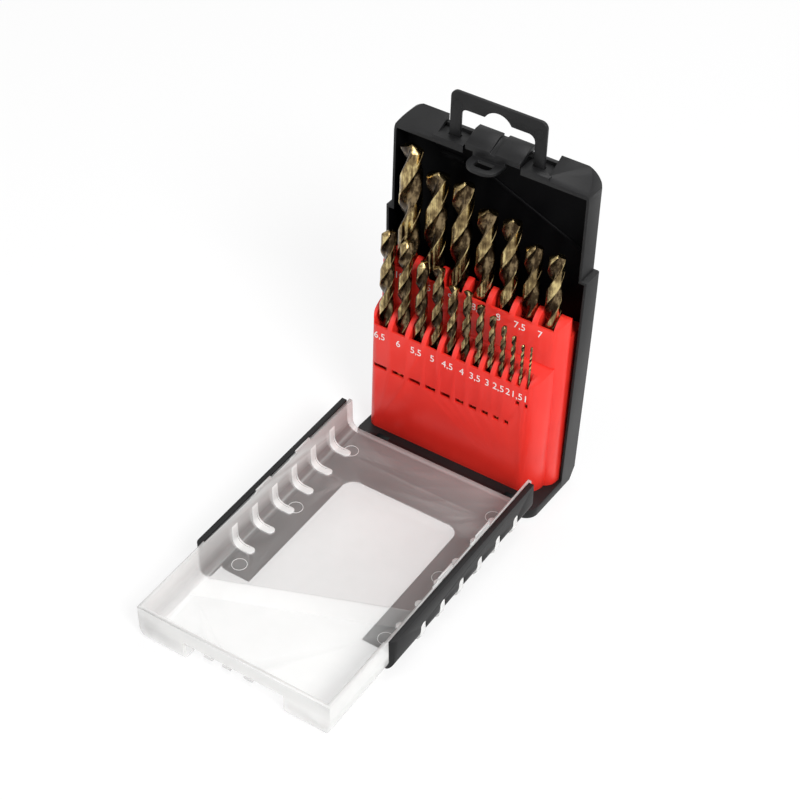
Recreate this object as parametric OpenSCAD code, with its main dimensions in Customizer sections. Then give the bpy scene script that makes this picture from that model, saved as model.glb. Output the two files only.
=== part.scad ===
// Hinged drill bit case with its drills. Millimetres, +Z up, the floor at z = 0.
// X runs across the case, Y from the opened lid towards the back. The case stands with its lid open.

/* [Shell] */
// outer width of the shell just below its step
shell_w = 95.8; // [94.8:0.1:96.8]
// how far each side steps in above the step
step_in = 2.6; // [1.8:0.1:2.9]
// how far each side leans in from the step down to the foot
foot_in = 2.1; // [1:0.1:2.2]
// height of the step
step_z = 110.5; // [100:0.5:120]
// height of the top wall's front edge
shell_h = 151; // [150.6:0.1:153]
// rise of the top wall from its front edge to the back
top_rise = 6; // [4:0.5:8]
// depth of the shell from its front rim to its back
shell_d = 10.95; // [10.5:0.05:13]
// thickness of the side walls
wall_t = 1.1; // [1:0.05:1.3]
// thickness of the back and top walls
back_t = 1.9; // [1.6:0.1:2.3]
// radius of the top corners
top_r = 10; // [6:0.5:12]
// radius of the upright back edges
back_r = 1.2; // [0.8:0.2:2.2]
// thickness of the foot plate
foot_t = 4.4; // [3.6:0.1:4.6]
// radius of the foot plate's front corners
foot_r = 6; // [3:0.5:7]

/* [Hinge] */
// height of the hinge axis
hinge_z = 3; // [2.9:0.05:3.2]
// radius of the hinge barrel
barrel_r = 2.6; // [2.4:0.05:2.7]
// radius of the hinge pins
pin_r = 1.3; // [1:0.05:1.5]
// radial clearance of the pins
pin_gap = 0.06; // [0.03:0.01:0.09]
// distance of each hinge arm from the middle
arm_x = 33; // [26:0.5:34]
// width of a hinge arm
arm_w = 5.4; // [4:0.2:7]
// hinge axis beyond the lid's hinge edge
axis_past_lid = 3.2; // [2.6:0.1:3.6]
// hinge axis below the lid's outer face
axis_below_lid = 5.4; // [5:0.1:6]

/* [Lid] */
// how far the side strips stand out beyond the shell on each side
lid_over_side = 0.4; // [0:0.1:0.9]
// how far the closed lid's far end stands above the top wall's front edge
lid_past_shell = 0.4; // [0:0.1:1]
// height of the side strips
strip_h = 17.8; // [16.5:0.1:18]
// thickness of the side strips
strip_t = 2.4; // [1.8:0.1:2.6]
// thickness of the clear panel's walls and of the whole floor
panel_t = 1.6; // [1.4:0.05:1.6]
// thickness of the frame under the floor
band_t = 0.8; // [0.6:0.05:0.9]
// radius of the long lower edges
edge_r = 8; // [6.5:0.5:10]
// how far the side strips reach from the hinge edge
strip_len = 106; // [98:0.5:112]
// how far the floor bands reach from the hinge edge
band_len = 98; // [88:0.5:100]
// width of the window between the floor bands
window_w = 56; // [48:0.5:62]
// width of the band along the hinge edge
rear_band = 26.3; // [20:0.5:32]
// distance between the finger slots
slot_pitch = 13.82; // [12.5:0.05:14.4]
// first finger slot from the hinge edge
slot_first = 15.6; // [13:0.2:18]
// width of a finger slot
slot_w = 4; // [3:0.2:5]
// height of a finger slot on the side
slot_h = 10.7; // [9:0.2:12]
// half the width of the notch at the far end
notch_x = 24; // [20:0.5:28]
// how far the notch cuts into the floor
notch_len = 7.7; // [6:0.1:9]
// height of the notch in the end wall
notch_h = 10.7; // [9:0.1:12]
// extra height of the tall side tabs
tab_rise = 1.4; // [0.8:0.1:1.8]

/* [Tray] */
// front face of the front block, ahead of the shell's rim
tray_reach = 16.15; // [14:0.05:16.2]
// height of the front block's lip
front_lip_z = 60; // [56:0.5:64]
// height of the back block's lip
back_lip_z = 87; // [80:0.5:92]
// depth of the front block
front_d = 8.6; // [8.4:0.1:9]
// rounding of the back block's top
back_round = 5.5; // [4:0.5:7]
// radius of the back block's right front edge
back_side_r = 6; // [3:0.5:7]
// thickness of the lips
lip_t = 1; // [0.8:0.1:1.2]
// first front drill from the tray's left side
front_first = 5.2; // [5:0.1:5.8]
// last front drill from the front block's right side
front_last = 7.33; // [6.5:0.1:9]
// outer drills of the back row from the tray's sides
back_edge = 8.69; // [8.3:0.05:9.6]
// room round a drill in its pocket
drill_gap = 0.3; // [0.25:0.05:0.4]
// height of the inspection windows
window_z = 38.6; // [36:0.2:42]

/* [Hanger] */
// width of the hanger
hanger_w = 44; // [40:0.5:45]
// how far the hanger stands above the shell's top, pulled up
hanger_rise = 19; // [15:0.5:22]
// thickness of the hanger
hanger_t = 1.6; // [1.2:0.1:2]
// width of a hanger leg
leg_w = 5; // [4:0.1:5.2]
// height of the hanger's top bar
bar_h = 7.3; // [5:0.1:8]

/* [Latch] */
// thickness of the latch tongue
tongue_t = 1.5; // [1.2:0.05:1.7]
// how far the tongue reaches ahead of the rim
tongue_reach = 8.6; // [8:0.2:12]
// width of the tongue
tongue_w = 14.9; // [12:0.1:16]
// width of each press pad
pad_w = 11.5; // [9:0.1:12]
// groove between the press pads
pad_gap = 2.6; // [1.5:0.1:3]

/* [Drills] */
// tip angle of the drills
tip_angle = 130; // [118:1:140]
// web of a drill as a share of its diameter
web_share = 0.3; // [0.2:0.01:0.4]
// length of one flute turn in diameters
lead_share = 5.44; // [4.5:0.02:6.5]

/* [Hidden] */
$fn = 64;

over = 1;
apart = 0.3;
black = "#26262a";
red = "#d5261f";
milk = "#dfe0dc";
gold = "#8f7d52";

// drills as diameter, length, flute length and the height of the pocket's floor
BACK_ROW = [[10, 133, 87, 12], [9.5, 125, 81, 12], [9, 125, 81, 12], [8.5, 117, 75, 12],
    [8, 117, 75, 12], [7.5, 109, 69, 12], [7, 109, 69, 12]];
FRONT_ROW = [[6.5, 101, 63, 6], [6, 93, 57, 12.5], [5.5, 93, 57, 6], [5, 86, 52, 14],
    [4.5, 80, 47, 14], [4, 75, 43, 19.5], [3.5, 70, 39, 20.5], [3, 61, 33, 26.7],
    [2.5, 57, 30, 28.3], [2, 49, 24, 33.6], [1.5, 40, 18, 40.3], [1, 34, 12, 47]];

// shell
rim_y = 7.05;
back_y = rim_y + shell_d;
panel_y = back_y - back_t;
low_half = shell_w / 2;
foot_half = low_half - foot_in;
top_half = low_half - step_in;
ledge_x = 26;
ledge_t = 3;
ledge_z = shell_h - back_t + ledge_t + 0.3;
mid_top_z = shell_h + 3;
chamfer_y = 3.5;
chamfer_z = 5.5;

// hinge and lid; the closed lid's outer face lies at closed_y
strip_top = rim_y - 0.32;
closed_y = strip_top - strip_h;
hinge_y = closed_y - axis_below_lid;
closed_z = hinge_z + axis_past_lid;
lid_w = shell_w + 2 * lid_over_side;
lid_len = shell_h + lid_past_shell - closed_z;
far_r = 3;
foot_front = hinge_y - 2.1;
panel_half = lid_w / 2 - strip_t;
panel_h = strip_h - 0.8;
panel_in = panel_half - panel_t;
inner_r = edge_r - strip_t - panel_t;
tab_t = 0.7;
swing_run = lid_len - far_r + axis_past_lid;
swing_drop = far_r + axis_below_lid;
swing_arm = sqrt(swing_run * swing_run + swing_drop * swing_drop);
lid_tilt = acos((far_r - hinge_z) / swing_arm) - atan2(swing_run, swing_drop);

// tray; its front face clears the closed lid's floor
tray_y = max(rim_y - tray_reach, closed_y + panel_t + apart);
block_y = tray_y + front_d;
tray_half = panel_in - apart;
front_right = tray_half - 3.2;
fin_step = 0.2;
front_round = front_d - 0.25;
front_top_z = front_lip_z + front_round + fin_step;
back_top_z = back_lip_z + back_round + fin_step;
fin_back = block_y + back_round + 0.6;
rear_top_z = back_lip_z - 4;
top_bulge = 1.8;
window_h = 2.2;
high_window_z = front_lip_z - 8.7;

function run(row, web, i) = i == 0 ? 0
    : run(row, web, i - 1) + (row[i - 1][0] + row[i][0]) / 2 + web;
front_webs = len(FRONT_ROW) - 1;
back_webs = len(BACK_ROW) - 1;
front_web = (front_right - front_last + tray_half - front_first - run(FRONT_ROW, 0, front_webs)) / front_webs;
back_web = (2 * (tray_half - back_edge) - run(BACK_ROW, 0, back_webs)) / back_webs;
function back_x(i) = back_edge - tray_half + run(BACK_ROW, back_web, i);
function front_x(i) = front_first - tray_half + run(FRONT_ROW, front_web, i);
function seat_y(face, d) = face + lip_t + drill_gap + d / 2;

// hanger and latch
hanger_y = rim_y + 5.25;
hanger_z = mid_top_z + hanger_rise;
hanger_foot = ledge_z - ledge_t - apart;
latch_mid = 0.8;
latch_half = pad_w + pad_gap / 2;
bar_z = closed_z + lid_len - panel_t;
tongue_z = bar_z - apart;
riser_y = rim_y + 0.4;
latch_back = back_y + 0.6;
latch_base = mid_top_z + apart;

// a box from two opposite corners
module box(a, b) {
    translate(a) cube(b - a);
}

// a flat shape in Y and Z, extruded along X from x0 to x1
module across(x0, x1) {
    translate([x0, 0, 0]) rotate([90, 0, 90]) linear_extrude(x1 - x0) children();
}

// a flat shape in X and Z, extruded along Y from y0 to y1
module along(y0, y1) {
    translate([0, y1, 0]) rotate([90, 0, 0]) linear_extrude(y1 - y0) children();
}

// a rectangle whose four corners have their own radii, from the lower left one, turning left
module corners(a, b, r) {
    difference() {
        translate(a) square(b - a);
        for (k = [0 : 3]) if (r[k] > 0) {
            sx = k == 1 || k == 2 ? 1 : -1;
            sy = k > 1 ? 1 : -1;
            cx = sx < 0 ? a[0] + r[k] : b[0] - r[k];
            cy = sy < 0 ? a[1] + r[k] : b[1] - r[k];
            difference() {
                translate([sx < 0 ? cx - r[k] - over : cx, sy < 0 ? cy - r[k] - over : cy])
                    square(r[k] + over);
                translate([cx, cy]) circle(r[k]);
            }
        }
    }
}

// the shell's outline from the front, inset by t
module front_outline(t) {
    r = top_r - t;
    polygon([[-foot_half + t, 0], [foot_half - t, 0], [low_half - t, step_z - t], [-low_half + t, step_z - t]]);
    corners([-top_half + t, step_z - t - over], [top_half - t, shell_h + top_rise + 0.5 - t], [0, 0, r, r]);
}

module shell_walls() {
    slope = top_rise / shell_d;
    difference() {
        intersection() {
            along(rim_y, back_y) front_outline(0);
            across(-low_half, low_half) polygon([[rim_y, 0], [back_y - chamfer_y, 0],
                [back_y, chamfer_z], [back_y, shell_h + top_rise], [rim_y, shell_h]]);
            union() {
                translate([0, 0, -over]) linear_extrude(step_z + over)
                    corners([-low_half, rim_y - over], [low_half, back_y], [0, 0, back_r, back_r]);
                translate([0, 0, step_z - over]) linear_extrude(shell_h + 2 * top_rise - step_z)
                    corners([-top_half, rim_y - over], [top_half, back_y], [0, 0, back_r, back_r]);
            }
        }
        intersection() {
            along(rim_y - over, panel_y) front_outline(wall_t);
            across(-low_half, low_half) polygon([[rim_y - over, foot_t], [panel_y - chamfer_y, foot_t],
                [panel_y, foot_t + chamfer_z], [panel_y, shell_h - back_t + slope * (panel_y - rim_y)],
                [rim_y - over, shell_h - back_t - slope * over]]);
        }
        // the middle of the top is lower, and open in front of the latch
        box([-ledge_x, rim_y - over, ledge_z], [ledge_x, panel_y + 0.01, shell_h + 2 * top_rise]);
        box([-ledge_x, panel_y - over, mid_top_z], [ledge_x, back_y + over, shell_h + 2 * top_rise]);
    }
}

// the openings in the ledge, for the latch and for the hanger's legs
module ledge_openings() {
    low = shell_h - 2 * ledge_t;
    box([latch_mid - latch_half - 0.6, rim_y - over, low],
        [latch_mid + latch_half + 0.6, panel_y, ledge_z + over]);
    for (s = [-1, 1]) {
        x = s * (hanger_w - leg_w) / 2;
        box([x - leg_w / 2 - apart, hanger_y - hanger_t / 2 - apart, low],
            [x + leg_w / 2 + apart, hanger_y + hanger_t / 2 + apart, ledge_z + over]);
    }
}

module foot_plate() {
    linear_extrude(foot_t)
        corners([-foot_half, foot_front], [foot_half, panel_y - 2], [foot_r, foot_r, 0, 0]);
    translate([-arm_x - 8, hinge_y, hinge_z]) rotate([0, 90, 0]) cylinder(h = 2 * arm_x + 16, r = barrel_r);
}

// the raised diagonal ridge and the short ribs on the inside of the back
module back_ribs() {
    a = [-5.4, shell_h - 14.4];
    b = [top_half - 6.4, shell_h - 32.7];
    run_x = b[0] - a[0];
    run_z = b[1] - a[1];
    translate([a[0], panel_y - 0.7, a[1]]) rotate([0, atan2(-run_z, run_x), 0])
        cube([sqrt(run_x * run_x + run_z * run_z), 1, 1.4]);
    box([-27.4, panel_y - 2, shell_h - 12.2], [-15.9, panel_y + 0.5, shell_h - 10.8]);
}

module base_shell() color(black) {
    difference() {
        union() {
            shell_walls();
            box([-ledge_x - over, rim_y, ledge_z - ledge_t], [ledge_x + over, panel_y + 0.5, ledge_z]);
            foot_plate();
            back_ribs();
        }
        ledge_openings();
        // notches for the lid's hinge arms, and the bores for its pins
        for (s = [-1, 1]) {
            box([s * arm_x - arm_w / 2 - apart, foot_front - 2 * over, -over],
                [s * arm_x + arm_w / 2 + apart, hinge_y + barrel_r + 1.7, 2 * foot_t]);
            translate([s * arm_x - arm_w / 2 - 3.4, hinge_y, hinge_z]) rotate([0, 90, 0])
                cylinder(h = arm_w + 6.8, r = pin_r + pin_gap);
        }
    }
}

// one upright block of the tray, rounded over its front edge and its two upright front corners
module tray_block(x0, x1, y0, y1, z1, round_r, r_left, r_right) {
    // the round is flatter than a quarter circle: its centre lies further back and lower
    r = top_bulge * round_r;
    back = round_r / 2 + sqrt(r * r / 2 - round_r * round_r / 4);
    lap = over / 2;
    intersection() {
        translate([0, 0, foot_t]) linear_extrude(z1 - foot_t)
            corners([x0, y0], [x1, y1], [r_left, r_right, 0, 0]);
        across(x0, x1) union() {
            translate([y0, foot_t]) square([y1 - y0, z1 - round_r - lap - foot_t]);
            translate([y0 + round_r + lap, z1 - round_r - over])
                square([y1 - y0 - round_r - lap, round_r + over]);
            intersection() {
                translate([y0 + back, z1 - back]) circle(r);
                translate([y0, z1 - round_r - over]) square([round_r + over, round_r + over]);
            }
        }
    }
}

// the pocket of one drill, open above its lip
module pocket(x, face, spec, lip_z, depth) {
    w = spec[0] / 2 + drill_gap;
    top = lip_z + front_d + back_round;
    box([x - w, face + lip_t, spec[3]], [x + w, depth, top]);
    box([x - w, face - over, lip_z], [x + w, face + lip_t + over, top]);
}

module drill_tray() color(red) {
    difference() {
        union() {
            tray_block(-tray_half, front_right, tray_y, block_y + over,
                front_top_z, front_round, inner_r, front_d);
            tray_block(-tray_half, tray_half, block_y, panel_y, back_top_z, back_round, 0.5, back_side_r);
        }
        // behind the fins the back block is lower
        box([-low_half, fin_back, rear_top_z], [low_half, panel_y + over, back_top_z + over]);
        // the lower back edge follows the shell's
        across(-low_half, low_half) polygon([[panel_y - chamfer_y - over, foot_t - over],
            [panel_y - chamfer_y, foot_t], [panel_y, foot_t + chamfer_z],
            [panel_y + over, foot_t + chamfer_z], [panel_y + over, foot_t - over]]);
        for (i = [0 : len(FRONT_ROW) - 1]) {
            spec = FRONT_ROW[i];
            pocket(front_x(i), tray_y, spec, front_lip_z,
                min(block_y, seat_y(tray_y, spec[0]) + spec[0] / 2 + 2));
            z = spec[0] < 2 ? high_window_z : window_z;
            box([front_x(i) - spec[0] / 2 + drill_gap, tray_y - over, z - window_h / 2],
                [front_x(i) + spec[0] / 2 + 2 * drill_gap, tray_y + lip_t + 0.1, z + window_h / 2]);
        }
        for (i = [0 : len(BACK_ROW) - 1]) {
            spec = BACK_ROW[i];
            pocket(back_x(i), block_y, spec, back_lip_z, seat_y(block_y, spec[0]) + spec[0] / 2 + drill_gap);
        }
    }
}

// the lid's cross section: half width, floor level and radius of its lower edges
module lid_section(half, floor_z, r) {
    corners([-half, floor_z], [half, strip_h], [r, r, 0, 0]);
}

// the plan of the frame: two side bands joined along the hinge edge
module frame_plan() {
    rear_y = -2;
    difference() {
        union() {
            corners([-lid_w / 2, -band_len], [lid_w / 2, rear_y], [9, 9, 0, 0]);
            for (s = [-1, 1]) {
                x = s * (lid_w / 2 - 3);
                translate([x - 3, -strip_len + 3]) square([6, strip_len - 3 + rear_y]);
                translate([x, -strip_len + 3]) circle(3);
            }
        }
        corners([-window_w / 2, -strip_len - over], [window_w / 2, -rear_band], [0, 0, 6, 6]);
    }
}

// one finger slot on side s, centred on y
module finger_slot(s, y) {
    in_x = 37.1;
    intersection() {
        translate([0, 0, -over]) linear_extrude(strip_h) union() {
            translate([s * in_x, y]) circle(slot_w / 2);
            translate([s > 0 ? in_x : -lid_w / 2 - over, y - slot_w / 2])
                square([lid_w / 2 + over - in_x, slot_w]);
        }
        across(-lid_w / 2 - over, lid_w / 2 + over) union() {
            translate([y, slot_h - slot_w / 2]) circle(slot_w / 2);
            translate([y - slot_w / 2, -2 * over]) square([slot_w, slot_h - slot_w / 2 + 2 * over]);
        }
    }
}

module finger_slots() {
    for (s = [-1, 1], k = [0 : 5]) finger_slot(s, -slot_first - k * slot_pitch);
}

// the clear panel's outside where the frame covers it
module covered_panel(y0) {
    along(y0, 0) lid_section(panel_half, band_t, edge_r - strip_t);
}

module panel_outside() {
    covered_panel(-lid_len);
    difference() {
        along(-lid_len, 0) lid_section(panel_half, 0, edge_r - band_t);
        translate([0, 0, -over]) linear_extrude(strip_h + 2 * over) frame_plan();
    }
    // ribs that fill the frame's finger slots
    intersection() {
        along(-strip_len, -over) lid_section(lid_w / 2 - 0.5, 0.2, edge_r - 0.5);
        finger_slots();
    }
}

// the far end's outline from the side
module end_outline() {
    corners([-lid_len, 0], [over, strip_h + 2 * tab_rise], [far_r, 0, 0, 0]);
}

module panel_cavity() {
    along(-lid_len + panel_t, over) lid_section(panel_in, panel_t, inner_r);
    along(-lid_len + panel_t, over) translate([-panel_in, strip_h - over])
        square([2 * panel_in, 4 * over]);
}

// the raised diagonal bar across the floor
module floor_bar() {
    turn = 21.5;
    intersection() {
        translate([0, -96, panel_t - 0.1]) rotate([0, 0, turn]) translate([-70, -5, 0]) cube([140, 10, 0.7]);
        along(-lid_len + 4, -60) lid_section(panel_in + 0.2, 0, inner_r);
    }
}

module lid_panel() color(milk) place_lid() {
    difference() {
        union() {
            intersection() {
                difference() {
                    panel_outside();
                    panel_cavity();
                }
                across(-lid_w, lid_w) end_outline();
            }
            floor_bar();
            // tall tabs that close inside the shell's rim
            for (s = [-1, 1], k = [1, 3]) {
                y1 = -slot_first - k * slot_pitch - slot_w / 2;
                y0 = y1 - slot_pitch + slot_w;
                x = s * (panel_in + tab_t / 2);
                box([x - tab_t / 2, y0, panel_h - over], [x + tab_t / 2, y1, strip_h + tab_rise]);
            }
        }
        // the walls stand a little lower than the strips
        for (s = [-1, 1]) box([s > 0 ? panel_in + tab_t : -panel_half - over, -strip_len + 3, panel_h],
            [s > 0 ? panel_half + over : -panel_in - tab_t, over, 2 * strip_h]);
        for (s = [-1, 1], k = [-1, 0, 2, 4, 5]) {
            y1 = k < 0 ? over : -slot_first - k * slot_pitch - slot_w / 2;
            y0 = k == 5 ? -strip_len + 3 : -slot_first - (k + 1) * slot_pitch + slot_w / 2;
            x = s * (panel_in + tab_t / 2);
            box([x - tab_t, y0 - slot_w - 0.01, panel_h], [x + tab_t, y1, 2 * strip_h]);
        }
        // the notch that leaves room for the latch
        box([-notch_x, -lid_len - over, -over], [notch_x, -lid_len + notch_len, notch_h]);
    }
    // nubs on the notch's edge
    for (x = [-16.5, -7.5, 3]) box([x - 2, -lid_len + notch_len - 2.4, 0.4],
        [x + 2, -lid_len + notch_len + 0.5, panel_t]);
}

module hinge_arm(x) {
    knuckle_r = barrel_r - 0.2;
    across(x - arm_w / 2, x + arm_w / 2) union() {
        translate([axis_past_lid, -axis_below_lid]) circle(knuckle_r);
        polygon([[axis_past_lid, -axis_below_lid + knuckle_r], [-2.2, 0], [-2.2, band_t], [-7, band_t],
            [-7, 0], [axis_past_lid - 0.56 * knuckle_r, -axis_below_lid - 0.82 * knuckle_r]]);
    }
    translate([x - arm_w / 2 - 3, axis_past_lid, -axis_below_lid]) rotate([0, 90, 0])
        cylinder(h = arm_w + 6, r = pin_r);
}

module lid_frame() color(black) place_lid() {
    difference() {
        intersection() {
            along(-strip_len - over, 0) lid_section(lid_w / 2, 0, edge_r);
            translate([0, 0, -over]) linear_extrude(strip_h + 2 * over) frame_plan();
        }
        covered_panel(-lid_len - over);
        finger_slots();
        // the finger slots' ribs leave the strips whole above them
        translate([-panel_half, -lid_len, strip_h / 2]) cube([2 * panel_half, lid_len + over, strip_h]);
    }
    for (s = [-1, 1]) hinge_arm(s * arm_x);
}

// the lid lies opened in front of the shell, its far end on the floor
module place_lid() {
    translate([0, hinge_y, hinge_z]) rotate([lid_tilt, 0, 0])
        translate([0, -axis_past_lid, axis_below_lid]) children();
}

module hanger() color(black) {
    half = hanger_w / 2;
    open_z = hanger_z - bar_h;
    bump_r = 7;
    along(hanger_y - hanger_t / 2, hanger_y + hanger_t / 2) difference() {
        union() {
            corners([-half, hanger_foot - 2.6], [half, hanger_z], [0, 0, 3, 3]);
            translate([-half - 1.2, hanger_foot - 2.6]) square([hanger_w + 2.4, 2.6]);
        }
        corners([-half + leg_w, hanger_foot - 3 * over], [half - leg_w, open_z], [0, 0, 3, 3]);
        intersection() {
            translate([0, open_z + 3.6 - bump_r]) circle(bump_r);
            translate([-bump_r, open_z - over]) square([2 * bump_r, bump_r]);
        }
    }
}

module latch() color(black) {
    x0 = latch_mid - latch_half;
    x1 = latch_mid + latch_half;
    plate_t = 1.6;
    front_z = ledge_z + 0.3;
    tongue_x = latch_mid - 1.6;
    loop_r = tongue_w / 2;
    tip_y = rim_y - tongue_reach;
    // the press plate, from its root on the back wall down to the riser
    across(x0, x1) polygon([[latch_back, latch_base], [latch_back, latch_base + plate_t],
        [panel_y - 1, latch_base + plate_t], [riser_y, front_z], [riser_y, front_z - plate_t],
        [panel_y - 1, latch_base]]);
    // two raised press pads
    for (s = [-1, 1]) {
        a = s < 0 ? x0 : latch_mid + pad_gap / 2;
        low = latch_base + plate_t - 0.1;
        high = latch_base + plate_t + 1.1;
        across(a, a + pad_w) polygon([[latch_back, low], [latch_back, high], [panel_y - 1, high],
            [riser_y, front_z + 1], [riser_y, front_z - 0.1], [panel_y - 1, low]]);
    }
    // the riser, and the tongue that lies under the closed lid's end wall
    box([tongue_x - loop_r, riser_y, tongue_z - tongue_t], [tongue_x + loop_r, riser_y + 1.6, front_z]);
    translate([0, 0, tongue_z - tongue_t]) linear_extrude(tongue_t) difference() {
        corners([tongue_x - loop_r, tip_y], [tongue_x + loop_r, riser_y + 1.6], [6, 6, 0, 0]);
        corners([tongue_x - loop_r + 3.6, tip_y + 3], [tongue_x + loop_r - 3.6, riser_y - 1.5],
            [2, 2, 0.5, 0.5]);
    }
}

// one drill: a plain shank below, two twisted flutes above, a cone for a tip
module drill(spec, x, face) {
    d = spec[0];
    r = d / 2;
    cone_h = r / tan(tip_angle / 2);
    turns = spec[2] / (lead_share * d);
    plain = spec[1] - spec[2];
    // half the cross section, as radius and angle: the land, then the flute down to the web
    land = 0.99 * r;
    flute = [[land, -38], [land, 0], [land, 38], [0.62 * r, 58], [(web_share + 0.15) * r, 84], [0.7 * r, 112]];
    translate([x, seat_y(face, d), spec[3] + apart]) {
        cylinder(h = plain, r = r, $fn = 48);
        intersection() {
            translate([0, 0, plain - 0.3])
                linear_extrude(spec[2] + 0.3, twist = -360 * turns, slices = ceil(turns * 12), segments = 12)
                    polygon([for (half = [0, 180], p = flute)
                        [p[0] * cos(p[1] + half), p[0] * sin(p[1] + half)]]);
            union() {
                translate([0, 0, spec[1] - 2 * cone_h]) cylinder(h = 2 * cone_h, r1 = 2 * r, r2 = 0, $fn = 48);
                translate([0, 0, plain - over]) cylinder(h = spec[2] + over - 1.5 * cone_h, r = 3 * r, $fn = 48);
            }
        }
    }
}

module back_drill(i) color(gold) drill(BACK_ROW[i], back_x(i), block_y);
module front_drill(i) color(gold) drill(FRONT_ROW[i], front_x(i), tray_y);

base_shell();
drill_tray();
lid_panel();
lid_frame();
hanger();
latch();
back_drill(0);  // drill_10_0
back_drill(1);  // drill_9_5
back_drill(2);  // drill_9_0
back_drill(3);  // drill_8_5
back_drill(4);  // drill_8_0
back_drill(5);  // drill_7_5
back_drill(6);  // drill_7_0
front_drill(0);  // drill_6_5
front_drill(1);  // drill_6_0
front_drill(2);  // drill_5_5
front_drill(3);  // drill_5_0
front_drill(4);  // drill_4_5
front_drill(5);  // drill_4_0
front_drill(6);  // drill_3_5
front_drill(7);  // drill_3_0
front_drill(8);  // drill_2_5
front_drill(9);  // drill_2_0
front_drill(10);  // drill_1_5
front_drill(11);  // drill_1_0
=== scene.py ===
import math
import bmesh
import bpy
from mathutils import Matrix, Vector


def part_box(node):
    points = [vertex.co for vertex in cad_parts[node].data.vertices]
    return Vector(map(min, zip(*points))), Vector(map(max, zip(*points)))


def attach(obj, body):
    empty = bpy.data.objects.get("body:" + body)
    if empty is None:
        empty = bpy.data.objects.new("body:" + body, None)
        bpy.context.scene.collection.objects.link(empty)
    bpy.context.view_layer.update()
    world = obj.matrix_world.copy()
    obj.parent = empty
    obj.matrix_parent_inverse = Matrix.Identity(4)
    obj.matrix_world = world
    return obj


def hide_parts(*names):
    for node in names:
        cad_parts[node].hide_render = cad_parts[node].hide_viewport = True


# Drill bit case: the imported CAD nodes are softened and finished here, and the drills get real flutes.
# Metres, same frame as the CAD: X across the case, Y towards the back, Z up.

mm = 0.001
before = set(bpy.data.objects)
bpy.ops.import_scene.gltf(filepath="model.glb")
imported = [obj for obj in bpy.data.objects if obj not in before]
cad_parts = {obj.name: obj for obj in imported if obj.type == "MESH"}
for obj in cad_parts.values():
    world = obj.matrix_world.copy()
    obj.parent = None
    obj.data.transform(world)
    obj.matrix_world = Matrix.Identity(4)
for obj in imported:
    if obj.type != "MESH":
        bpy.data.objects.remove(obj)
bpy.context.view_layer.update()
print("frame loaded:", len(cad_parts), "nodes")


# small helpers

def node(tree, kind, **values):
    made = tree.nodes.new(kind)
    for key, value in values.items():
        if hasattr(made, key):
            setattr(made, key, value)
        else:
            made.inputs[key.replace("_", " ")].default_value = value
    return made


# a maths node on sockets or plain numbers
def maths(tree, operation, *terms):
    made = node(tree, "ShaderNodeMath", operation=operation)
    for slot, term in zip(made.inputs, terms):
        if isinstance(term, bpy.types.NodeSocket):
            tree.links.new(term, slot)
        else:
            slot.default_value = term
    return made.outputs["Value"]


# colours between the given stops, chosen by a value
def colourStops(tree, value, target, stops):
    tint = node(tree, "ShaderNodeValToRGB")
    ramp = tint.color_ramp.elements
    for element, (at, colour) in zip((ramp[0], ramp[1]), (stops[0], stops[-1])):
        element.position = at
        element.color = (*colour, 1)
    for at, colour in stops[1:-1]:
        ramp.new(at).color = (*colour, 1)
    tree.links.new(value, tint.inputs["Fac"])
    tree.links.new(tint.outputs["Color"], target)


# a noise from 0 to 1 becomes a number that wanders about a middle
def wander(tree, value, middle, reach):
    made = node(tree, "ShaderNodeMapRange", To_Min=middle - reach, To_Max=middle + reach)
    tree.links.new(value, made.inputs["Value"])
    return made.outputs["Result"]


def addBump(tree, height, shader, look):
    bump = node(tree, "ShaderNodeBump", Strength=look["bump"], Distance=look["grainDepth"])
    tree.links.new(height, bump.inputs["Height"])
    tree.links.new(bump.outputs["Normal"], shader.inputs["Normal"])


def newMaterial(name):
    material = bpy.data.materials.new(name)
    material.use_nodes = True
    shader = material.node_tree.nodes["Principled BSDF"]
    return material, material.node_tree, shader


# a finished bmesh becomes an object that rides on its body
def addPiece(name, bm, materials, body, smoothAngle=35):
    mesh = bpy.data.meshes.new(name)
    bm.to_mesh(mesh)
    bm.free()
    mesh.shade_smooth()
    mesh.set_sharp_from_angle(angle=math.radians(smoothAngle))
    piece = bpy.data.objects.new(name, mesh)
    bpy.context.scene.collection.objects.link(piece)
    for material in materials:
        mesh.materials.append(material)
    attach(piece, body)
    return piece


# finishes

plasticStops = (0.35, 0.68)


def mouldedPlastic(name, look):
    # fine grain of the mould in the bump, broad blotches in colour and gloss
    material, tree, shader = newMaterial(name)
    place = node(tree, "ShaderNodeTexCoord")
    grain = node(tree, "ShaderNodeTexNoise", Scale=look["grainScale"], Detail=4.0, Roughness=0.6)
    blotch = node(tree, "ShaderNodeTexNoise", Scale=look["blotchScale"], Detail=3.0, Roughness=0.55)
    for texture in (grain, blotch):
        tree.links.new(place.outputs["Object"], texture.inputs["Vector"])
    patch = blotch.outputs["Fac"]
    stops = list(zip(plasticStops, (look["dark"], look["light"])))
    colourStops(tree, patch, shader.inputs["Base Color"], stops)
    gloss = wander(tree, patch, look["roughness"], look["roughnessSpread"])
    tree.links.new(gloss, shader.inputs["Roughness"])
    addBump(tree, grain.outputs["Fac"], shader, look)
    shader.inputs["Specular IOR Level"].default_value = look["specular"]
    return material


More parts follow.
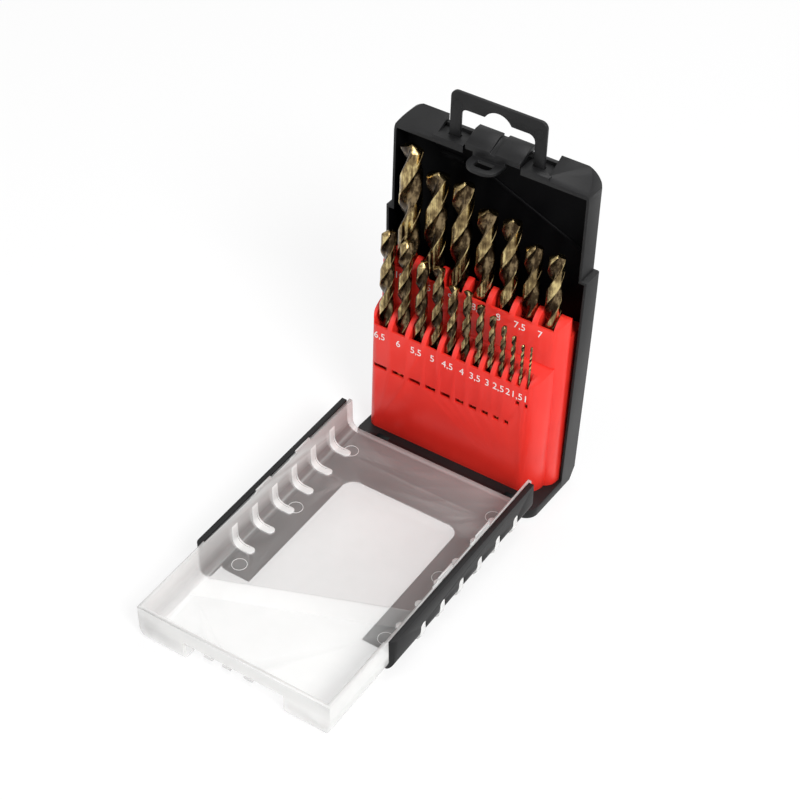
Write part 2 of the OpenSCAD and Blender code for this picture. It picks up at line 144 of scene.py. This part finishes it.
shellLook = {"dark": (0.006, 0.006, 0.0064), "light": (0.011, 0.011, 0.0115), "roughness": 0.44,
             "roughnessSpread": 0.06, "specular": 0.24, "grainScale": 2600, "grainDepth": 0.00006,
             "bump": 0.35, "blotchScale": 45}
# painted shade: the shell's own black made darker and less glossy for the inside faces, which lie in shade
insideShadeLook = {"dark": (0.0016, 0.0016, 0.002), "light": (0.003, 0.003, 0.0034), "roughness": 0.4,
              "roughnessSpread": 0.05, "specular": 0.035, "grainScale": 2600, "grainDepth": 0.00003,
              "bump": 0.25, "blotchScale": 45}
frameLook = {"dark": (0.006, 0.006, 0.0065), "light": (0.011, 0.011, 0.0115), "roughness": 0.48,
             "roughnessSpread": 0.07, "specular": 0.2, "grainScale": 2100, "grainDepth": 0.00008,
             "bump": 0.45, "blotchScale": 60}
trayLook = {"dark": (0.76, 0.022, 0.014), "light": (0.84, 0.032, 0.02), "roughness": 0.36,
            "roughnessSpread": 0.05, "specular": 0.45, "grainScale": 1500, "grainDepth": 0.00004,
            "bump": 0.22, "blotchScale": 30}
printLook = {"dark": (0.78, 0.77, 0.75), "light": (0.86, 0.85, 0.84), "roughness": 0.5,
             "roughnessSpread": 0.05, "specular": 0.4, "grainScale": 3000, "grainDepth": 0.00002,
             "bump": 0.2, "blotchScale": 400}
shellBlack = mouldedPlastic("shellBlack", shellLook)
shellInsideShade = mouldedPlastic("shellInsideShade", insideShadeLook)
frameBlack = mouldedPlastic("frameBlack", frameLook)
trayRed = mouldedPlastic("trayRed", trayLook)
printWhite = mouldedPlastic("printWhite", printLook)


# the opened lid: its hinge and tilt, and how far the hinge lies past and below the lid's own zero
lidPlace = {"hingeY": -16.47, "hingeZ": 3.0, "tilt": 3.3064, "pastLid": 3.2, "belowLid": 5.4}
milkStops = (0.3, 0.7)


def milkyPlastic(name, look):
    # natural polypropylene: a pale cloudy body that lets part of what is behind it show
    material, tree, shader = newMaterial(name)
    place = node(tree, "ShaderNodeTexCoord")
    cloud = node(tree, "ShaderNodeTexNoise", Scale=look["cloudScale"], Detail=3.0, Roughness=0.5)
    grain = node(tree, "ShaderNodeTexNoise", Scale=look["grainScale"], Detail=3.0, Roughness=0.6)
    for texture in (cloud, grain):
        tree.links.new(place.outputs["Object"], texture.inputs["Vector"])
    haze = cloud.outputs["Fac"]
    stops = list(zip(milkStops, (look["dark"], look["light"])))
    colourStops(tree, haze, shader.inputs["Base Color"], stops)
    # the walls are cloudier than the floor: height above the lid's own floor decides
    tilt = math.radians(lidPlace["tilt"])
    height = node(tree, "ShaderNodeVectorMath", operation="DOT_PRODUCT")
    height.inputs[1].default_value = (0, -math.sin(tilt), math.cos(tilt))
    tree.links.new(place.outputs["Object"], height.inputs[0])
    hingeHeight = -math.sin(tilt) * lidPlace["hingeY"] + math.cos(tilt) * lidPlace["hingeZ"]
    floorAt = hingeHeight + lidPlace["belowLid"]
    wall = node(tree, "ShaderNodeMapRange", From_Min=(floorAt + look["wallFrom"]) * mm,
                From_Max=(floorAt + look["wallTo"]) * mm, To_Max=look["wallExtra"])
    tree.links.new(height.outputs["Value"], wall.inputs["Value"])
    body = wander(tree, haze, look["alpha"], look["alphaSpread"])
    tree.links.new(maths(tree, "ADD", body, wall.outputs["Result"]), shader.inputs["Alpha"])
    addBump(tree, grain.outputs["Fac"], shader, look)
    shader.inputs["Roughness"].default_value = look["roughness"]
    shader.inputs["Specular IOR Level"].default_value = look["specular"]
    return material


lidLook = {"dark": (0.80, 0.80, 0.79), "light": (0.86, 0.86, 0.85), "alpha": 0.31, "alphaSpread": 0.03,
           "wallFrom": 2.0, "wallTo": 10.0, "wallExtra": 0.3, "roughness": 0.38, "specular": 0.35,
           "cloudScale": 28, "grainScale": 1800, "grainDepth": 0.00004, "bump": 0.25}
fingerLook = {"dark": (0.82, 0.82, 0.81), "light": (0.88, 0.88, 0.87), "alpha": 0.72, "alphaSpread": 0.05,
              "wallFrom": 2.0, "wallTo": 10.0, "wallExtra": 0.15, "roughness": 0.36, "specular": 0.4,
              "cloudScale": 90, "grainScale": 1800, "grainDepth": 0.00004, "bump": 0.25}
lidMilk = milkyPlastic("lidMilk", lidLook)
fingerMilk = milkyPlastic("fingerMilk", fingerLook)


steelStops = (0.40, 0.5, 0.60)


def drillSteel(name, look):
    # ground steel, straw tempered: painted sheen streaks along the drill stand in for reflections, with
    # small real tempering stains; the same streaks give the grinding bump
    material, tree, shader = newMaterial(name)
    place = node(tree, "ShaderNodeTexCoord")
    stretch = node(tree, "ShaderNodeMapping", Scale=look["sheenStreakScale"])
    sheenStreak = node(tree, "ShaderNodeTexNoise", Scale=1.0, Detail=5.0, Roughness=0.65)
    stain = node(tree, "ShaderNodeTexNoise", Scale=look["stainScale"], Detail=3.0, Roughness=0.6)
    tree.links.new(place.outputs["Object"], stretch.inputs["Vector"])
    tree.links.new(stretch.outputs["Vector"], sheenStreak.inputs["Vector"])
    tree.links.new(place.outputs["Object"], stain.inputs["Vector"])
    # painted reflection streaks and real tempering stains are mixed into one tone here
    both = maths(tree, "ADD", sheenStreak.outputs["Fac"], stain.outputs["Fac"])
    stainAndSheen = maths(tree, "MULTIPLY", both, 0.5)
    stops = list(zip(steelStops, (look["dark"], look["middle"], look["light"])))
    colourStops(tree, stainAndSheen, shader.inputs["Base Color"], stops)
    gloss = wander(tree, stainAndSheen, look["roughness"], look["roughnessSpread"])
    tree.links.new(gloss, shader.inputs["Roughness"])
    addBump(tree, sheenStreak.outputs["Fac"], shader, look)
    shader.inputs["Metallic"].default_value = 1.0
    return material


# the light stops are painted highlights of the sheen streaks
landLook = {"dark": (0.10, 0.068, 0.032), "middle": (0.27, 0.195, 0.092), "light": (0.66, 0.53, 0.25),
            "roughness": 0.2, "roughnessSpread": 0.07, "sheenStreakScale": (760, 760, 90), "stainScale": 190,
            "grainDepth": 0.00003, "bump": 0.3}
fluteLook = {"dark": (0.018, 0.011, 0.006), "middle": (0.055, 0.037, 0.02), "light": (0.24, 0.175, 0.095),
             "roughness": 0.27, "roughnessSpread": 0.07, "sheenStreakScale": (620, 620, 220), "stainScale": 170,
             "grainDepth": 0.00003, "bump": 0.3}
landGold = drillSteel("landGold", landLook)
fluteBronze = drillSteel("fluteBronze", fluteLook)
print("finishes made")


# moulded parts: the CAD forms with their sharp edges eased

# the inside of the shell: faces behind the rim that look towards the drills, which get a darker, less
# glossy finish as painted shade
shellInner = {"half": 46.85, "front": 7.3, "back": 16.15, "low": 4.5, "high": 152.5, "middle": (0, -10, 75)}


def markShadedInside(bm):
    for face in bm.faces:
        at = face.calc_center_median() / mm
        deep = abs(at.x) < shellInner["half"] and shellInner["front"] < at.y < shellInner["back"]
        if deep and shellInner["low"] < at.z < shellInner["high"]:
            if face.normal.dot(Vector(shellInner["middle"]) - at) > 0:
                face.material_index = 1


edgeRules = {"weld": 0.002, "flatAngle": 1.0, "sharpFrom": 40, "segments": 2}


def easedCopy(nodeName, name, material, body, edgeWidth):
    bm = bmesh.new()
    bm.from_mesh(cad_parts[nodeName].data)
    bmesh.ops.remove_doubles(bm, verts=bm.verts, dist=edgeRules["weld"] * mm)
    for face in bm.faces:
        face.material_index = 0
    if edgeWidth > 0:
        bmesh.ops.dissolve_limit(bm, angle_limit=math.radians(edgeRules["flatAngle"]), verts=bm.verts,
                                 edges=bm.edges)
        sharp = [e for e in bm.edges if len(e.link_faces) == 2
                 and e.calc_face_angle(0) > math.radians(edgeRules["sharpFrom"])]
        bmesh.ops.bevel(bm, geom=sharp, offset=edgeWidth * mm, offset_type="OFFSET", affect="EDGES",
                        segments=edgeRules["segments"], profile=0.5, material=-1, clamp_overlap=True)
    materials = [material]
    # the inside faces take the painted-shade finish
    if nodeName == "base_shell":
        markShadedInside(bm)
        materials.append(shellInsideShade)
    piece = addPiece(name, bm, materials, body)
    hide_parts(nodeName)
    return piece


# each node: its piece's name, finish, body and slot, and the width of its eased edges in mm
easing = {
    "base_shell": ("shell", shellBlack, "case", "shell_black", 0.18),
    "drill_tray": ("tray", trayRed, "case", "tray_red", 0.3),
    "lid_panel": ("lidPanel", lidMilk, "lid", "lid_clear", 0),
    "lid_frame": ("lidFrame", frameBlack, "lid", "frame_black", 0.12),
    "hanger": ("hangerPlate", shellBlack, "hanger", "shell_black", 0.25),
    "latch": ("latchPlate", shellBlack, "latch", "shell_black", 0.2),
}
for nodeName, (name, material, body, slot, edgeWidth) in easing.items():
    easedCopy(nodeName, name, material, body, edgeWidth)
print("moulded parts eased")


# lid details

def toLid(bm):
    matrix = (Matrix.Translation((0, lidPlace["hingeY"] * mm, lidPlace["hingeZ"] * mm))
              @ Matrix.Rotation(math.radians(lidPlace["tilt"]), 4, "X")
              @ Matrix.Translation((0, -lidPlace["pastLid"] * mm, lidPlace["belowLid"] * mm)))
    bmesh.ops.scale(bm, vec=(mm, mm, mm), verts=bm.verts)
    bmesh.ops.transform(bm, matrix=matrix, verts=bm.verts)


# the finger ribs: six a side on both faces of the lid's walls, each a J down the wall and in over the floor
ribRow = {"count": 6, "first": 15.6, "pitch": 13.82, "long": 40, "across": 16}
# how a rib is rounded: shares of its half width across, and where its dent lies along and across
ribRound = {"power": 6, "fullFrom": 1.6, "sunk": 0.03, "least": 0.02, "dentAt": 0.55, "dentHalf": 0.14,
            "dentFrom": 0.3, "dentTo": 1.5, "overFloor": 0.98, "floorShare": 0.6, "middleZ": 12}
insideRib = {"wallX": 44.3, "floorZ": 1.6, "bend": 4.0, "top": 12.6, "end": 35.1, "half": 2.0,
             "rise": 0.32, "tip": 1.2, "dent": 0.3}
outsideRib = {"wallX": 47.9, "floorZ": 0.3, "bend": 4.2, "top": 10.6, "end": 35.3, "half": 1.9,
              "rise": -0.12, "tip": 0.8, "dent": 0.0, "sides": 1.7}


def ribPoint(shape, along):
    # from the top of the rib down the wall, round the corner and in over the floor
    down = shape["top"] - shape["floorZ"] - shape["bend"]
    turn = math.pi / 2 * shape["bend"]
    if along < down:
        return Vector((shape["wallX"], 0, shape["top"] - along)), Vector((-1, 0, 0))
    if along < down + turn:
        a = (along - down) / shape["bend"]
        centre = Vector((shape["wallX"] - shape["bend"], 0, shape["floorZ"] + shape["bend"]))
        inward = Vector((-math.cos(a), 0, math.sin(a)))
        return centre - inward * shape["bend"], inward
    onFloor = shape["wallX"] - shape["bend"] - (along - down - turn)
    return Vector((onFloor, 0, shape["floorZ"])), Vector((0, 0, 1))


def addRibs(name, shape):
    length = (shape["top"] - shape["floorZ"] - shape["bend"] + math.pi / 2 * shape["bend"]
              + shape["wallX"] - shape["bend"] - shape["end"])
    half = shape["half"]
    way = 1 if shape["rise"] > 0 else -1
    deeper = {}
    bm = bmesh.new()
    for side in (-1, 1):
        for k in range(ribRow["count"]):
            grid = bmesh.ops.create_grid(bm, x_segments=ribRow["long"], y_segments=ribRow["across"],
                                         size=0.5)["verts"]
            for v in grid:
                along = (v.co.x + 0.5) * length
                t = v.co.y * 2
                ends = max((along - (length - half)) / half, (shape["tip"] - along) / shape["tip"], 0)
                reach = math.sqrt(max(0.0, 1 - ends * ends)) if way < 0 or along > length / 2 else 1
                rise = (shape["rise"] * (1 - abs(t) ** ribRound["power"])
                        * min(1, reach * ribRound["fullFrom"]) * min(1, along / shape["tip"]))
                dentSpan = length * ribRound["dentFrom"] < along < length - ribRound["dentTo"] * half
                if abs(t - ribRound["dentAt"]) < ribRound["dentHalf"] and dentSpan:
                    rise -= shape["dent"]
                point, inward = ribPoint(shape, along)
                p = point + inward * (rise - ribRound["sunk"] * way)
                y = t * half * max(reach, ribRound["least"])
                v.co = Vector((side * p.x, -ribRow["first"] - k * ribRow["pitch"] + y, p.z))
                # the sides are shallower over the floor, which the tray comes close to when the lid is shut
                share = ribRound["floorShare"] if inward.z > ribRound["overFloor"] else 1
                deeper[v] = Vector((side * inward.x, 0, inward.z)) * share
            for face in {f for v in grid for f in v.link_faces}:
                face.normal_update()
                middle = face.calc_center_median()
                if face.normal.dot(Vector((-middle.x, 0, ribRound["middleZ"] - middle.z))) * way < 0:
                    face.normal_flip()
    # the outside ribs get sides down into the wall, so they fill their slots in the frame
    if "sides" in shape:
        rim = [e for e in bm.edges if e.is_boundary]
        starts = {v.co.copy().freeze(): deeper[v] for e in rim for v in e.verts}
        walls = bmesh.ops.extrude_edge_only(bm, edges=rim)["geom"]
        for v in (g for g in walls if isinstance(g, bmesh.types.BMVert)):
            v.co += starts[v.co.copy().freeze()] * shape["sides"]
    toLid(bm)
    return addPiece(name, bm, [fingerMilk], "lid", smoothAngle=60)


addRibs("ribsInside", insideRib)
addRibs("ribsOutside", outsideRib)

ringShape = {"x": 36.0, "ys": (-13.5, -54.5, -93.5), "z": 1.6, "radius": 3.2, "wire": 0.13}
ringSteps = {"round": 8, "along": 48}


# a wire ring, lying flat or standing to face along Y; a tag marks the vertices of earlier rings
def addRing(bm, centre, radius, wire, normal="Z"):
    start = bmesh.ops.create_circle(bm, segments=ringSteps["round"], radius=wire)["verts"]
    bmesh.ops.rotate(bm, verts=start, cent=(0, 0, 0), matrix=Matrix.Rotation(math.pi / 2, 3, "X"))
    bmesh.ops.translate(bm, verts=start, vec=(radius, 0, 0))
    loop = list({e for v in start for e in v.link_edges})
    bmesh.ops.spin(bm, geom=start + loop, cent=(0, 0, 0), axis=(0, 0, 1), angle=2 * math.pi,
                   steps=ringSteps["along"], use_merge=True)
    made = [v for v in bm.verts if not v.tag]
    if normal == "Y":
        bmesh.ops.rotate(bm, verts=made, cent=(0, 0, 0), matrix=Matrix.Rotation(math.pi / 2, 3, "X"))
    bmesh.ops.translate(bm, verts=made, vec=centre)
    for v in made:
        v.tag = True


def addLidRings():
    bm = bmesh.new()
    for side in (-1, 1):
        for y in ringShape["ys"]:
            addRing(bm, (side * ringShape["x"], y, ringShape["z"]), ringShape["radius"], ringShape["wire"])
    bmesh.ops.recalc_face_normals(bm, faces=bm.faces)
    toLid(bm)
    return addPiece("lidRings", bm, [fingerMilk], "lid")


addLidRings()
print("lid details added")


# hanger marks

hangerMarks = {"xs": (-18.7, 18.7), "z": 167.1, "front": 11.5, "radius": 2.2, "wire": 0.1}


def addHangerMarks():
    bm = bmesh.new()
    for x in hangerMarks["xs"]:
        centre = (x, hangerMarks["front"], hangerMarks["z"])
        addRing(bm, centre, hangerMarks["radius"], hangerMarks["wire"], "Y")
    bmesh.ops.recalc_face_normals(bm, faces=bm.faces)
    bmesh.ops.scale(bm, vec=(mm, mm, mm), verts=bm.verts)
    return addPiece("hangerMarks", bm, [shellBlack], "hanger")


addHangerMarks()


# printed sizes on the tray

printing = {
    "height": 4.75, "thick": 0.03, "curveSteps": 4,
    "front": {"face": -9.1, "z": 53.6, "sizes": {
        "6,5": -39.0, "6": -29.5, "5,5": -20.5, "5": -12.3, "4,5": -4.7, "4": 2.4, "3,5": 8.9, "3": 14.9,
        "2,5": 20.4, "2": 25.0, "1,5": 29.3, "1": 33.5}},
    "back": {"face": -0.5, "z": 81.7, "sizes": {
        "10": -35.7, "9,5": -22.6, "9": -10.3, "8,5": 2.9, "8": 13.1, "7,5": 23.4, "7": 33.0}},
}


def addPrint(row, name):
    bm = bmesh.new()
    for label, x in row["sizes"].items():
        text = bpy.data.curves.new("size", type="FONT")
        text.body = label
        text.size = printing["height"]
        text.align_x = "CENTER"
        text.extrude = printing["thick"]
        text.resolution_u = printing["curveSteps"]
        holder = bpy.data.objects.new("size", text)
        bpy.context.scene.collection.objects.link(holder)
        bpy.context.view_layer.update()
        depsgraph = bpy.context.evaluated_depsgraph_get()
        flat = bpy.data.meshes.new_from_object(holder.evaluated_get(depsgraph))
        known = set(bm.verts)
        bm.from_mesh(flat)
        fresh = [v for v in bm.verts if v not in known]
        bmesh.ops.rotate(bm, verts=fresh, cent=(0, 0, 0), matrix=Matrix.Rotation(math.pi / 2, 3, "X"))
        bmesh.ops.translate(bm, verts=fresh, vec=(x, row["face"], row["z"]))
        bpy.data.objects.remove(holder)
        bpy.data.meshes.remove(flat)
    bmesh.ops.scale(bm, vec=(mm, mm, mm), verts=bm.verts)
    return addPiece(name, bm, [printWhite], "case")


addPrint(printing["front"], "printFront")
addPrint(printing["back"], "printBack")
print("sizes printed")


# drills

drillShape = {
    "tipAngle": 130, "lead": 5.44, "ringsPerTurn": 30, "leastRings": 8, "runOut": 0.8, "chamfer": 0.06,
    # the point's rings lie at these shares of the one before
    "pointRings": (0.66, 0.5, 0.3),
    # half a section, turning left: radius share and angle from the heel, over the land, into the flute
    "section": [(0.95, 0), (0.955, 12), (0.955, 24), (0.955, 36), (0.955, 48), (0.955, 58), (0.995, 61),
                (1.0, 67), (1.0, 73), (0.93, 76), (0.80, 78), (0.64, 82), (0.48, 90), (0.37, 103),
                (0.33, 120), (0.37, 136), (0.48, 149), (0.63, 159), (0.80, 168), (0.91, 175)],
    "landFrom": 0.93,
    "fluteLength": {"10_0": 87, "9_5": 81, "9_0": 81, "8_5": 75, "8_0": 75, "7_5": 69, "7_0": 69,
                    "6_5": 63, "6_0": 57, "5_5": 57, "5_0": 52, "4_5": 47, "4_0": 43, "3_5": 39,
                    "3_0": 33, "2_5": 30, "2_0": 24, "1_5": 18, "1_0": 12},
    # how far each drill is turned in its pocket
    "turned": {"10_0": -75, "9_5": -28, "9_0": -28, "8_5": -32, "8_0": -75, "7_5": -30, "7_0": -80,
               "6_5": -40, "6_0": -15, "5_5": -60, "5_0": 20, "4_0": -35, "3_0": 40},
}


def addDrill(size):
    s = drillShape
    low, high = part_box("drill_" + size)
    diameter = float(size.replace("_", "."))
    radius = diameter / 2
    length = (high.z - low.z) / mm
    flute = s["fluteLength"][size]
    plain = length - flute
    tipHeight = radius / math.tan(math.radians(s["tipAngle"] / 2))
    lead = s["lead"] * diameter
    bm = bmesh.new()
    section = [(r, a + turn) for turn in (0, 180) for r, a in s["section"]]
    ring = bmesh.ops.create_circle(bm, segments=len(section), radius=1)["verts"]
    ring.sort(key=lambda v: math.atan2(v.co.y, v.co.x) % (2 * math.pi))
    for v, (r, a) in zip(ring, section):
        a = math.radians(a)
        v.co = Vector((r * radius * math.cos(a), r * radius * math.sin(a), plain))
    edges = list({e for v in ring for e in v.link_edges})
    rise = flute - tipHeight
    steps = max(s["leastRings"], math.ceil(rise / lead * s["ringsPerTurn"]))
    last = bmesh.ops.spin(bm, geom=ring + edges, cent=(0, 0, 0), axis=(0, 0, 1),
                          angle=2 * math.pi * rise / lead, dvec=(0, 0, rise / steps), steps=steps,
                          use_merge=False)["geom_last"]
    # the flutes fade out into the shank
    runOut = s["runOut"] * diameter
    for v in bm.verts:
        up = (v.co.z - plain) / runOut
        if up < 1:
            ease = up * up * (3 - 2 * up)
            flat = Vector((v.co.x, v.co.y, 0))
            full = flat.normalized() * radius
            p = full.lerp(flat, ease)
            v.co.x, v.co.y = p.x, p.y
    # shank, with a small chamfer at its foot
    foot = s["chamfer"] * diameter
    rimEdges = [e for e in bm.edges if all(abs(v.co.z - plain) < 1e-6 for v in e.verts)]
    for level, scale in ((foot, 1.0), (0.0, 1 - 2 * s["chamfer"])):
        made = bmesh.ops.extrude_edge_only(bm, edges=rimEdges)["geom"]
        rimEdges = [g for g in made if isinstance(g, bmesh.types.BMEdge)]
        for v in (g for g in made if isinstance(g, bmesh.types.BMVert)):
            v.co = Vector((v.co.x * scale, v.co.y * scale, level))
    bmesh.ops.contextual_create(bm, geom=rimEdges)
    # the point: each column of the section runs up to the cone, then in to the middle
    top = [g for g in last if isinstance(g, bmesh.types.BMVert)]
    topEdges = [g for g in last if isinstance(g, bmesh.types.BMEdge)]
    start = {v: v.co.xy.length / radius for v in top}
    for v in top:
        up = (1 - start[v]) * tipHeight
        v.co = Matrix.Rotation(2 * math.pi * up / lead, 3, "Z") @ v.co
        v.co.z = length - start[v] * tipHeight
    sideFaces = list(bm.faces)
    for inward in s["pointRings"]:
        made = bmesh.ops.extrude_edge_only(bm, edges=topEdges)["geom"]
        top = [g for g in made if isinstance(g, bmesh.types.BMVert)]
        topEdges = [g for g in made if isinstance(g, bmesh.types.BMEdge)]
        for v in top:
            v.co.x *= inward
            v.co.y *= inward
            v.co.z = length - v.co.xy.length / radius * tipHeight
    bmesh.ops.contextual_create(bm, geom=topEdges)
    bmesh.ops.recalc_face_normals(bm, faces=bm.faces)
    for face in bm.faces:
        middle = sum(v.co.xy.length for v in face.verts) / len(face.verts) / radius
        face.material_index = 0 if middle > s["landFrom"] or face not in sideFaces else 1
    bmesh.ops.rotate(bm, verts=bm.verts, cent=(0, 0, 0),
                     matrix=Matrix.Rotation(math.radians(s["turned"].get(size, 0)), 3, "Z"))
    bmesh.ops.scale(bm, vec=(mm, mm, mm), verts=bm.verts)
    bmesh.ops.translate(bm, verts=bm.verts, vec=((low.x + high.x) / 2, (low.y + high.y) / 2, low.z))
    piece = addPiece("drill" + size, bm, [landGold, fluteBronze], "drill_" + size,
                     smoothAngle=32)
    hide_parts("drill_" + size)
    return piece


for size in drillShape["fluteLength"]:
    addDrill(size)
print("drills ground")


# stage, light and camera

# the background is white where the camera, a reflection or a see-through part shows it
def seenRay(tree):
    ray = node(tree, "ShaderNodeLightPath").outputs
    direct = maths(tree, "MAXIMUM", ray["Is Camera Ray"], ray["Is Glossy Ray"])
    return maths(tree, "MAXIMUM", direct, ray["Is Transmission Ray"])


floorLook = {"size": 6.0, "colour": (0.9, 0.9, 0.9), "roughness": 0.9, "glow": 0.75, "drop": -0.0004}


def addStage():
    bm = bmesh.new()
    bmesh.ops.create_grid(bm, x_segments=1, y_segments=1, size=floorLook["size"])
    bmesh.ops.translate(bm, verts=bm.verts, vec=(0, 0, floorLook["drop"]))
    mesh = bpy.data.meshes.new("floor")
    bm.to_mesh(mesh)
    bm.free()
    floor = bpy.data.objects.new("floor", mesh)
    bpy.context.scene.collection.objects.link(floor)
    material, tree, shader = newMaterial("floorPale")
    shader.inputs["Base Color"].default_value = (*floorLook["colour"], 1)
    shader.inputs["Roughness"].default_value = floorLook["roughness"]
    glow = node(tree, "ShaderNodeEmission", Color=(1, 1, 1, 1), Strength=1.0)
    mix = node(tree, "ShaderNodeMixShader")
    tree.links.new(maths(tree, "MULTIPLY", seenRay(tree), floorLook["glow"]), mix.inputs["Fac"])
    tree.links.new(shader.outputs["BSDF"], mix.inputs[1])
    tree.links.new(glow.outputs["Emission"], mix.inputs[2])
    out = tree.nodes["Material Output"]
    tree.links.new(mix.outputs["Shader"], out.inputs["Surface"])
    mesh.materials.append(material)


addStage()

worldLook = {"colour": (1, 1, 1), "light": 0.34, "seen": 1.0}


def lightWorld():
    world = bpy.data.worlds.new("studio")
    bpy.context.scene.world = world
    world.use_nodes = True
    tree = world.node_tree
    sky = tree.nodes["Background"]
    sky.inputs["Color"].default_value = (*worldLook["colour"], 1)
    strength = node(tree, "ShaderNodeMapRange", To_Min=worldLook["light"], To_Max=worldLook["seen"])
    tree.links.new(seenRay(tree), strength.inputs["Value"])
    tree.links.new(strength.outputs["Result"], sky.inputs["Strength"])


lightWorld()

lamps = {
    "key": {"at": (1.15, -0.75, 1.25), "size": 0.7, "power": 27},
    "fill": {"at": (-1.1, -1.0, 0.9), "size": 1.2, "power": 5},
    "top": {"at": (0.1, 0.5, 1.7), "size": 0.9, "power": 10},
}
lampAim = Vector((0, -0.04, 0.06))
for name, lamp in lamps.items():
    light = bpy.data.lights.new(name, type="AREA")
    light.shape = "DISK"
    light.size = lamp["size"]
    light.energy = lamp["power"]
    holder = bpy.data.objects.new(name, light)
    bpy.context.scene.collection.objects.link(holder)
    holder.location = lamp["at"]
    aim = lampAim - Vector(lamp["at"])
    holder.rotation_euler = aim.to_track_quat("-Z", "Y").to_euler()

view = {"at": (0.34299, -0.5928, 0.60075), "azimuth": 32.405, "elevation": 39.778, "roll": 2.066,
        "lens": 93.567, "sensor": 36, "nearest": 0.01}


def addCamera():
    az, el, roll = (math.radians(view[k]) for k in ("azimuth", "elevation", "roll"))
    look = Vector((-math.sin(az) * math.cos(el), math.cos(az) * math.cos(el), -math.sin(el)))
    level = Vector((math.cos(az), math.sin(az), 0))
    upright = level.cross(look)
    right = level * math.cos(roll) + upright * math.sin(roll)
    up = upright * math.cos(roll) - level * math.sin(roll)
    camera = bpy.data.objects.new("camera", bpy.data.cameras.new("camera"))
    bpy.context.scene.collection.objects.link(camera)
    turned = Matrix((right, up, -look)).transposed().to_4x4()
    camera.matrix_world = Matrix.Translation(view["at"]) @ turned
    camera.data.sensor_width = view["sensor"]
    camera.data.lens = view["lens"]
    camera.data.clip_start = view["nearest"]
    bpy.context.scene.camera = camera


addCamera()
bpy.context.scene.view_settings.view_transform = "Standard"
print("stage, lamps and camera set")
